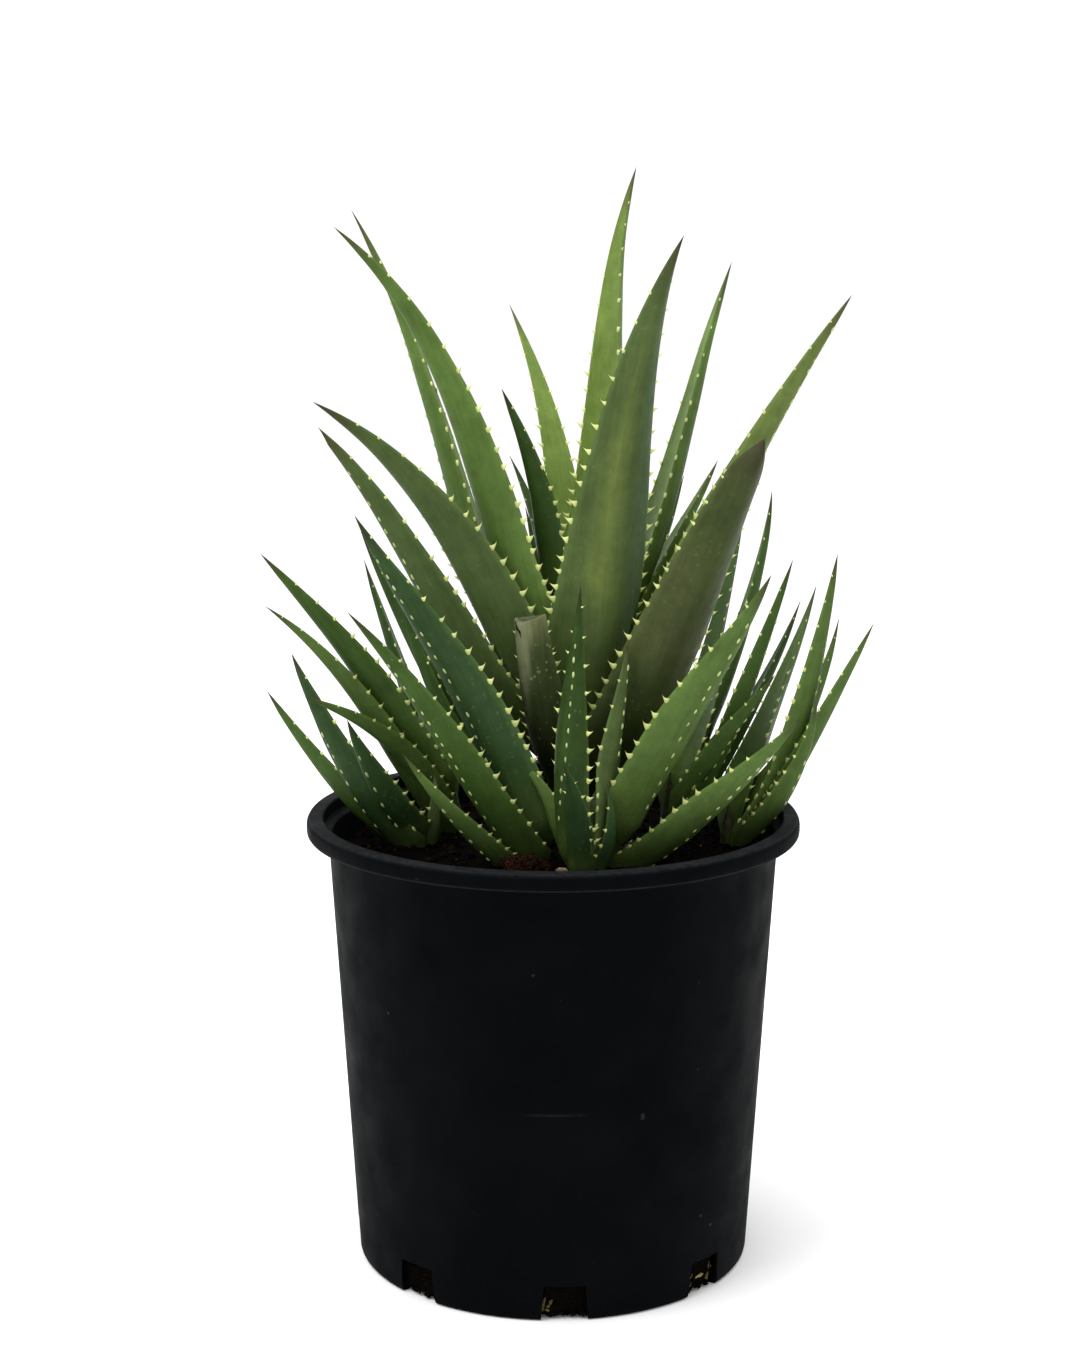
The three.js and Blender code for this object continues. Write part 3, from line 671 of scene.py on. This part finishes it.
def scaled_colour(n, colour, factor):
    """A colour times a grey factor."""
    node = n.tree.nodes.new("ShaderNodeVectorMath")
    node.operation = "SCALE"
    n.link(colour, node.inputs[0])
    n.link(factor, node.inputs["Scale"])
    return node.outputs[0]


def leaf_material(name, streak, freckle, gloss):
    """Waxy leaf skin: lengthwise streaks, mottling, freckles and fine ridges; plain on the teeth."""
    n = Nodes(name)
    tint = n.attribute("tint").outputs["Color"]
    grain = n.attribute("grain")
    split = n.tree.nodes.new("ShaderNodeSeparateXYZ")
    n.link(grain.outputs["Vector"], split.inputs[0])
    horn_share = split.outputs[2]
    objects = n.objects()
    streaks = n.noise(n.scaled(grain.outputs["Vector"], (900, 55, 1)), 1.0, 5.0)
    mottle = n.noise(objects, 190, 5.0, 0.6)
    blotch = n.noise(objects, 42, 3.0)
    lengthwise = n.remap(streaks, 0.25, 0.75, 1 - streak, 1 + streak)
    factor = n.math("ADD", lengthwise, n.remap(mottle, 0.3, 0.7, -0.13, 0.13))
    factor = n.math("ADD", factor, n.remap(blotch, 0.3, 0.7, -0.1, 0.1))
    skin = scaled_colour(n, tint, factor)
    freckles = n.math("MULTIPLY", n.spots(objects, 330, 0.26), n.remap(blotch, 0.42, 0.62, 0.0, freckle))
    skin = n.mix(skin, (0.17, 0.21, 0.10), freckles)
    colour = n.mix(skin, tint, horn_share)
    roughness = n.remap(n.noise(objects, 260, 3.0), 0.3, 0.7, gloss - 0.08, gloss + 0.1)
    ridges = n.bump(streaks, 0.00025, 0.5)
    pores = n.bump(mottle, 0.0003, 0.4, ridges)
    return n.finish(colour, roughness, pores, specular=0.1)


# Marks on the front of the pot: centre and half size along X, Y and Z, in metres.
SCRATCH = ((0.001, 0.014), (-0.086, 0.010), (0.086, 0.0006))
CHIP = ((0.034, 0.0009), (-0.079, 0.012), (0.083, 0.0016))


def pot_material():
    """Black moulded polypropylene: faint flow lines, scuffs, dust low down, painted highlight lines round the
    rim and a fine satin grain.
    """
    n = Nodes("black_polypropylene")
    objects = n.objects()
    cloud = n.noise(objects, 22, 4.0)
    dust = n.noise(objects, 340, 6.0, 0.7)
    flow = n.noise(n.scaled(objects, (30, 30, 260)), 1.0, 4.0)
    height = n.tree.nodes.new("ShaderNodeSeparateXYZ")
    n.link(objects, height.inputs[0])
    low = n.remap(height.outputs[2], 0.05, 0.0, 0.0, 1.0)
    colour = n.mix((0.0006, 0.0011, 0.0016), (0.0015, 0.0021, 0.0027), n.remap(cloud, 0.35, 0.7, 0.0, 1.0))
    # Painted highlights: thin lighter lines at the top of the rim's lip and at the bottom edge of its band.
    lip_highlight = n.remap(height.outputs[2], 0.1828, 0.1836, 0.0, 1.0)
    above = n.remap(height.outputs[2], 0.1772, 0.1776, 0.0, 1.0)
    below = n.remap(height.outputs[2], 0.1782, 0.1778, 0.0, 1.0)
    band_highlight = n.math("MULTIPLY", above, below)
    highlight_and_wear = n.math("MULTIPLY", n.math("ADD", lip_highlight, band_highlight), n.remap(dust, 0.3, 0.6, 0.25, 1.0))
    faint = n.remap(dust, 0.35, 0.6, 0.0, 0.5)
    highlight_and_wear = n.math("ADD", highlight_and_wear, n.math("MULTIPLY", n.near(height, SCRATCH), faint))
    highlight_and_wear = n.math("ADD", highlight_and_wear, n.near(height, CHIP))
    # One lighter colour for the painted rim highlights and for the real scratch and chip.
    colour = n.mix(colour, (0.011, 0.012, 0.013), highlight_and_wear)
    dusty = n.math("MULTIPLY", n.remap(dust, 0.6, 0.85, 0.0, 0.22), n.math("ADD", low, 0.25))
    colour = n.mix(colour, (0.030, 0.028, 0.024), dusty)
    specks = n.math("MULTIPLY", n.spots(objects, 95, 0.07), n.remap(cloud, 0.5, 0.62, 0.0, 0.8))
    colour = n.mix(colour, (0.045, 0.042, 0.036), specks)
    roughness = n.remap(n.noise(objects, 60, 5.0), 0.3, 0.7, 0.5, 0.7)
    grain = n.bump(n.noise(objects, 1500, 2.0), 0.00006, 0.5)
    flowing = n.bump(flow, 0.0002, 0.25, grain)
    return n.finish(colour, roughness, flowing, specular=0.02)


def tinted_material(name, scale, contrast, depth, rough=0.95, specular=0.03):
    """Rough natural matter that takes its colour from the mesh: mix, bark, roots, stems."""
    n = Nodes(name)
    tint = n.attribute("tint").outputs["Color"]
    objects = n.objects()
    fine = n.noise(objects, scale, 6.0, 0.65)
    coarse = n.noise(objects, scale / 6, 3.0)
    strong = n.remap(fine, 0.3, 0.7, 1 - contrast, 1 + contrast)
    factor = n.math("ADD", strong, n.remap(coarse, 0.3, 0.7, -contrast / 2, contrast / 2))
    colour = scaled_colour(n, tint, factor)
    roughness = n.remap(fine, 0.3, 0.7, rough - 0.1, rough)
    return n.finish(colour, roughness, n.bump(fine, depth, 0.8), specular=specular)


# ---- Pot ----

POT_SEGMENTS = 240


def wall_radius(height):
    return POT_BASE + (POT_WALL_TOP - POT_BASE) * height / (POT_HEIGHT - POT_BAND)


def revolve(mesh, profile, segments, tint):
    """A closed outline turned about the pot's axis; points on the axis are kept as small rings."""
    profile = np.array([(max(r, 0.01), z) for r, z in profile])
    points = []
    for k in range(segments):
        a = 2 * math.pi * k / segments
        points += [(r * math.cos(a), r * math.sin(a), z) for r, z in profile]
    count = len(profile)
    faces = []
    for k in range(segments):
        here, there = k * count, (k + 1) % segments * count
        for i in range(count - 1):
            faces.append((here + i, there + i, there + i + 1, here + i + 1))
    faces.append(tuple(k * count for k in range(segments - 1, -1, -1)))
    faces.append(tuple(k * count + count - 1 for k in range(segments)))
    mesh.add(np.array(points) * MM, faces, tint)


def pot_profile():
    """The pot's section from the middle of its underside, up the outside, over the rim and down inside."""
    foot = POT_HEIGHT - POT_BAND
    rim, inner, wall = POT_RIM_RADIUS, POT_RIM_INNER, POT_WALL_TOP
    rows = [(0, 1.2), (58, 1.2), (60, 0)]
    rows += [(POT_BASE - 2.2, 0), (POT_BASE - 0.9, 0.35), (POT_BASE - 0.2, 1.1)]
    rows += [(wall_radius(z), z) for z in (2.4, 6, 14, 16, 30, 60, 90, 120, 150, 168, foot - 1.4)]
    rows += [(wall + 0.3, foot - 0.5), (wall + 1.2, foot), (rim - 1.5, foot)]
    rows += [(rim - 0.6, foot + 0.25), (rim - 0.15, foot + 0.9), (rim, foot + 2)]
    rows += [(rim, foot + 4.2), (rim - 0.15, foot + 5.2), (rim - 0.5, foot + 5.9)]
    rows += [(rim - 0.85, foot + 6.1), (rim - 0.9, foot + 6.6), (rim - 1.3, POT_HEIGHT)]
    rows += [(inner + 0.5, POT_HEIGHT), (inner, POT_HEIGHT - 0.5), (inner, foot + 1.8)]
    rows += [(wall - POT_WALL, foot)]
    rows += [(wall_radius(z) - POT_WALL, z) for z in (150, 60, POT_FLOOR)]
    return rows + [(0, POT_FLOOR)]


def slot_cutter(mesh, angle):
    """A trapezoid prism across the wall at one drainage slot."""
    foot, head = SLOT_BOTTOM / 2, SLOT_TOP / 2
    outline = ((-foot, -1), (foot, -1), (head, SLOT_HEIGHT), (-head, SLOT_HEIGHT))
    a = math.radians(angle)
    points = []
    for r in (POT_BASE - 7, POT_BASE + 5):
        for y, z in outline:
            points.append((r * math.cos(a) - y * math.sin(a), r * math.sin(a) + y * math.cos(a), z))
    mesh.add(np.array(points) * MM, tube_faces(2, 4), (0, 0, 0))


def make_pot(material):
    mesh = Mesh()
    revolve(mesh, pot_profile(), POT_SEGMENTS, (0.004, 0.004, 0.005))
    pot = mesh.build("nursery_pot", material)
    cutters = Mesh()
    for i in range(SLOT_COUNT):
        slot_cutter(cutters, SLOT_FIRST + 360 * i / SLOT_COUNT)
    cutter = cutters.build("slot_cutters", material)
    cut = pot.modifiers.new("slots", "BOOLEAN")
    cut.object = cutter
    cut.solver = "EXACT"
    graph = bpy.context.evaluated_depsgraph_get()
    made = bpy.data.meshes.new_from_object(pot.evaluated_get(graph))
    pot.modifiers.clear()
    pot.data = made
    made.set_sharp_from_angle(angle=math.radians(35))
    bpy.data.objects.remove(cutter)
    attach(pot, "root")
    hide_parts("pot")
    return pot


# ---- Potting mix, bark, stub and roots ----

CLEARANCE = 0.35
FLOOR_TOP = POT_FLOOR + CLEARANCE
MIX_CRUMBS = 1500
MIX_DARK = (0.0020, 0.0015, 0.0012)
SLOT_DARK = (0.0030, 0.0022, 0.0016)
MIX_BROWNS = (
    (0.002, 0.0015, 0.001),
    (0.004, 0.0025, 0.0015),
    (0.0015, 0.001, 0.001),
    (0.009, 0.004, 0.002),
    (0.002, 0.002, 0.002),
)


def mix_height(radius):
    """The height of the mix at a radius."""
    radii = (0, SOIL_CROWN_RADIUS, SOIL_SHOULDER_RADIUS, 90)
    return float(np.interp(radius, radii, (SOIL_CROWN, SOIL_CROWN, SOIL_SHOULDER, SOIL_EDGE)))


def crumb(mesh, place, size, colour, rng):
    """A broken chip with uneven sides."""
    corners = []
    stretch = [rng.uniform(0.5, 1.4) for _ in range(3)]
    turn = rng.uniform(0, math.pi)
    for z in (-0.6, 0.0, 0.6):
        reach = 1.0 if z == 0 else 0.6
        for k in range(6):
            a = turn + 2 * math.pi * k / 6
            r = reach * rng.uniform(0.7, 1.15)
            height = z * stretch[2] * rng.uniform(0.8, 1.2)
            corners.append((r * math.cos(a) * stretch[0], r * math.sin(a) * stretch[1], height))
    tilt = rng.uniform(-1, 1)
    points = []
    for x, y, z in corners:
        points.append((place[0] + size * x, place[1] + size * (y * math.cos(tilt) - z * math.sin(tilt)),
                       place[2] + size * (y * math.sin(tilt) + z * math.cos(tilt))))
    mesh.add(np.array(points) * MM, tube_faces(3, 6), colour)


def root_strand(mesh, places, radius, colour, rng):
    """A root along a smooth curve through some places, thinner towards its end."""
    course = [Vector(p) for p in places]
    steps = 6
    fine = []
    for i in range(len(course) - 1):
        before, after = course[max(i - 1, 0)], course[min(i + 2, len(course) - 1)]
        for k in range(steps):
            t = k / steps
            a, b = course[i], course[i + 1]
            bend = 2 * before - 5 * a + 4 * b - after
            twist = 3 * a - before - 3 * b + after
            fine.append(0.5 * (2 * a + (b - before) * t + bend * t * t + twist * t ** 3))
    fine.append(course[-1])
    radii = [radius * (1 + 0.12 * math.sin(1.7 * i)) * (1 - 0.35 * i / len(fine)) for i in range(len(fine))]
    points, faces = tube([tuple(p) for p in fine], radii, sides=10, wobble=0.06, rng=rng)
    tints = np.array([np.array(colour) * rng.uniform(0.75, 1.15) for _ in range(len(points))])
    mesh.add(np.array(points) * MM, faces, tints)


def polar(radius, angle, height):
    a = math.radians(angle)
    return (radius * math.cos(a), radius * math.sin(a), height)


def make_mix(material):
    rng = random.Random(f"{SEED} mix")
    mesh = Mesh()
    segments = 220
    radii = [0.01, 8, 16, 24, 30, 36, 42, 48, 54, 59, 64, 69, 73, 77, 80, 83, 85.5, 87.5, 88.9, 89.4]
    heights = (150, 100, 50, 22, 18, 15.5, 13, 11, 9, 7, 5, FLOOR_TOP)
    edge = [(wall_radius(z) - POT_WALL - CLEARANCE, z) for z in heights]
    profile = [(r, mix_height(r)) for r in radii] + edge + [(60, FLOOR_TOP), (0.01, FLOOR_TOP)]
    points, tints = [], []
    for k in range(segments):
        a = 2 * math.pi * k / segments
        for r, z in profile:
            rough = noise.noise(Vector((r * math.cos(a), r * math.sin(a), z)) * 0.35)
            fine = noise.noise(Vector((r * math.cos(a), r * math.sin(a), z)) * 1.1)
            lift = (rough + 0.5 * fine) if z > 160 and r < 89 else 0
            inset = max(0, 0.6 + rough) * 1.2 if z < 20 and r > 70 else 0
            points.append(((r - inset) * math.cos(a), (r - inset) * math.sin(a), z + lift * 1.1))
            tints.append(np.array(MIX_DARK) * (1 + 0.5 * fine))
    count = len(profile)
    faces = []
    for k in range(segments):
        here, there = k * count, (k + 1) % segments * count
        for i in range(count - 1):
            faces.append((here + i + 1, there + i + 1, there + i, here + i))
    faces.append(tuple(k * count for k in range(segments)))
    faces.append(tuple(k * count + count - 1 for k in range(segments - 1, -1, -1)))
    mesh.add(np.array(points) * MM, faces, tints)
    for _ in range(MIX_CRUMBS):
        r, a = 89 * math.sqrt(rng.random()), rng.uniform(0, 360)
        size = rng.uniform(0.5, 1.9)
        place = polar(min(r, 89 - size), a, mix_height(r) + size * 0.15)
        crumb(mesh, place, size, np.array(rng.choice(MIX_BROWNS)) * rng.uniform(0.7, 1.3), rng)
    for _ in range(45):
        r, a = 86 * math.sqrt(rng.random()), rng.uniform(0, 360)
        colour = np.array((0.10, 0.085, 0.065)) * rng.uniform(0.4, 1)
        crumb(mesh, polar(r, a, mix_height(r) + 0.8), rng.uniform(0.25, 0.6), colour, rng)
    crumb(mesh, (-80, -22, 170.5), 3.4, (0.075, 0.028, 0.016), rng)
    crumb(mesh, (-76, -25, 170), 2.0, (0.055, 0.020, 0.012), rng)
    for i in range(SLOT_COUNT):
        slot_contents(mesh, i, rng)
    obj = mesh.build("potting_mix_surface", material)
    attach(obj, "root")
    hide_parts("potting_mix")
    return obj


# Roots behind each slot: how far each stands from the slot's middle, in degrees, and how high it reaches.
SLOT_ROOTS = {0: ((-5.6, 12), (-4.0, 8)), 1: ((-3.2, 10), (4.4, 13)), 4: ((2.5, 9),)}


def slot_contents(mesh, number, rng):
    """Crumbs and a few root ends that press against the inside of one drainage slot."""
    angle = SLOT_FIRST + 360 * number / SLOT_COUNT
    for _ in range(26):
        z = rng.uniform(FLOOR_TOP + 0.5, SLOT_HEIGHT)
        size = rng.uniform(0.5, 1.5)
        place = polar(wall_radius(z) - POT_WALL - CLEARANCE - size, angle + rng.uniform(-6.5, 6.5), z)
        crumb(mesh, place, size, np.array(SLOT_DARK) * rng.uniform(0.5, 2.0), rng)
    for _ in range(40):
        size = rng.uniform(0.6, 1.3)
        radius, aside = rng.uniform(74.8, 78.2), rng.uniform(-5.8, 5.8)
        place = polar(radius, angle + aside, size * 1.3 + rng.uniform(0, 1.2))
        crumb(mesh, place, size, np.array(SLOT_DARK) * rng.uniform(0.5, 2.0), rng)
    ring = POT_BASE - POT_WALL - 1.2
    for shift, reach in SLOT_ROOTS.get(number, ()):
        colour = np.array((0.085, 0.068, 0.028)) * rng.uniform(0.5, 1.1)
        places = [polar(ring, angle + shift + x, z) for x, z in ((-1, 3.5), (-0.4, 6), (0.6, reach))]
        root_strand(mesh, places, rng.uniform(0.8, 1.2), colour, rng)


ROOT_RADIUS = 1.5
ROOT_COURSE = ((-52, 5), (-46, 7), (-40, 6), (-34, 9))


def make_root(material):
    rng = random.Random(f"{SEED} root")
    ring = POT_BASE - POT_WALL - CLEARANCE - ROOT_RADIUS
    mesh = Mesh()
    root_strand(mesh, [polar(ring, a, z) for a, z in ROOT_COURSE], ROOT_RADIUS, (0.24, 0.17, 0.075), rng)
    obj = mesh.build("fleshy_root", material)
    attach(obj, "root")
    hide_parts("slot_root")


def node_box(node):
    low, high = (np.array(corner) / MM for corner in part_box(node))
    return low, high, (low + high) / 2


FIBRES = ((0.030, 0.012, 0.007), (0.016, 0.007, 0.004), (0.050, 0.020, 0.011), (0.010, 0.005, 0.003))
# Layers of the dried shoot, from the outside in: share of its radius, share of its height, and colour.
STUB_LAYERS = (
    (0.95, 0.55, (0.05, 0.035, 0.022)),
    (0.78, 0.85, (0.13, 0.11, 0.08)),
    (0.52, 0.95, (0.17, 0.13, 0.085)),
    (0.3, 0.8, (0.11, 0.045, 0.018)),
)


def make_bark(material):
    """A mound of fibres and splinters."""
    rng = random.Random(f"{SEED} bark")
    low, high, middle = node_box("bark_mound")
    reach = (high - low) / 2
    mesh = Mesh()
    for _ in range(60):
        p = [middle[i] + reach[i] * 0.55 * rng.uniform(-1, 1) for i in range(3)]
        crumb(mesh, p, rng.uniform(1.0, 2.2), np.array((0.012, 0.006, 0.004)) * rng.uniform(0.5, 1.6), rng)
    for _ in range(230):
        a, out = rng.uniform(0, 2 * math.pi), math.sqrt(rng.random())
        x, y = middle[0] + reach[0] * 0.9 * out * math.cos(a), middle[1] + reach[1] * 0.9 * out * math.sin(a)
        z = middle[2] + reach[2] * 0.9 * math.sqrt(max(1 - out * out, 0)) * rng.uniform(0.55, 1.0)
        turn, tilt = rng.uniform(0, math.pi), rng.uniform(-0.35, 0.35)
        length = rng.uniform(2.5, 6.5)
        step = np.array([math.cos(turn), math.sin(turn), tilt]) * length / 2
        bend = np.array([rng.uniform(-0.8, 0.8), rng.uniform(-0.8, 0.8), rng.uniform(0.0, 0.9)])
        centre = np.array([x, y, z])
        thick = rng.uniform(0.12, 0.38)
        course = [centre - step, centre - step * 0.3 + bend * 0.7, centre + step * 0.4 + bend, centre + step]
        radii = (thick * 0.5, thick, thick, thick * 0.3)
        points, faces = tube(course, radii, sides=5, squash=rng.uniform(0.5, 1))
        points = np.clip(points, low + 0.1, high - 0.1)
        mesh.add(points * MM, faces, np.array(rng.choice(FIBRES)) * rng.uniform(0.6, 1.2))
    obj = mesh.build("bark_fibre_mound", material)
    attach(obj, "root")
    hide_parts("bark_mound")


def make_dried_stub(material):
    """The dried end of an old shoot: papery layers round a brown heart."""
    rng = random.Random(f"{SEED} stub")
    low, high, middle = node_box("dried_stub")
    reach = (high - low) / 2
    mesh = Mesh()
    lean = np.array([-0.25, -0.12, 1.0])
    for radius, top, colour in STUB_LAYERS:
        sides, points = 18, []
        heights = (-1.0, -0.3, 0.3 * top, top, top - 0.12, top - 0.35)
        spreads = (0.9, 1.0, 0.98, 0.9, 0.74, 0.3)
        for h, spread in zip(heights, spreads):
            for k in range(sides):
                a = 2 * math.pi * k / sides
                ragged = rng.uniform(-0.09, 0.05) if h >= top - 0.13 else 0
                r = radius * spread * rng.uniform(0.92, 1.02)
                p = lean * (h + ragged) * reach[2] * 0.95
                side = np.array([reach[0] * r * math.cos(a), reach[1] * r * math.sin(a), 0])
                points.append(middle + p + side)
        points = np.clip(points, low, high)
        mesh.add(points * MM, tube_faces(len(heights), sides), np.array(colour))
    obj = mesh.build("dried_shoot_stub", material)
    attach(obj, "root")
    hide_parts("dried_stub")


# ---- Stage ----


def make_stage():
    bpy.ops.mesh.primitive_plane_add(size=30)
    floor = bpy.context.object
    floor.name = "studio_floor"
    n = Nodes("pale_floor")
    n.shader.inputs["Base Color"].default_value = (0.93, 0.93, 0.93, 1)
    n.shader.inputs["Roughness"].default_value = 0.9
    n.shader.inputs["Specular IOR Level"].default_value = 0.1
    floor.data.materials.append(n.material)

    world = bpy.data.worlds.new("studio")
    world.use_nodes = True
    background = world.node_tree.nodes["Background"]
    background.inputs[0].default_value = (1.0, 1.0, 1.0, 1)
    background.inputs[1].default_value = 1.1
    bpy.context.scene.world = world

    for name, place, size, energy in (
        ("key", (-0.9, -0.6, 1.9), 1.0, 20),
        ("top", (0.0, 0.1, 2.0), 1.4, 20),
    ):
        lamp = bpy.data.lights.new(name, "AREA")
        lamp.energy, lamp.size = energy, size
        obj = bpy.data.objects.new(name, lamp)
        obj.location = place
        obj.rotation_euler = (Vector((0, 0, 0.25)) - Vector(place)).to_track_quat("-Z", "Y").to_euler()
        bpy.context.scene.collection.objects.link(obj)


def make_camera():
    camera = bpy.data.cameras.new("camera")
    camera.lens, camera.sensor_width = 64.95, 36
    obj = bpy.data.objects.new("camera", camera)
    obj.location = (-0.00535, -0.9655, 0.4172)
    obj.rotation_euler = (math.radians(90 - 10.37), 0, 0)
    bpy.context.scene.collection.objects.link(obj)
    bpy.context.scene.camera = obj


bpy.context.scene.view_settings.view_transform = "Standard"

leaf_materials = {
    "rosette_leaf": leaf_material("rosette_skin", 0.12, 0.14, 0.46),
    "offset_leaf": leaf_material("offset_skin", 0.13, 0.18, 0.44),
    "dry_leaf": leaf_material("drying_skin", 0.22, 0.8, 0.7),
}
stem_material = tinted_material("stem_skin", 300, 0.25, 0.0004, rough=0.75, specular=0.2)
mix_material = tinted_material("damp_mix", 500, 0.5, 0.0006, specular=0.01)
bark_material = tinted_material("bark_fibre", 700, 0.35, 0.0004, specular=0.01)
root_material = tinted_material("root_skin", 420, 0.25, 0.0003, rough=0.8, specular=0.2)

for leaf_name, leaf_spec in LEAVES.items():
    make_leaf(leaf_name, leaf_spec, leaf_materials)
for stem_name, stem_spec in STEMS.items():
    make_stem(stem_name, stem_spec, stem_material)
make_pot(pot_material())
make_mix(mix_material)
make_bark(bark_material)
make_dried_stub(bark_material)
make_root(root_material)
make_stage()
make_camera()
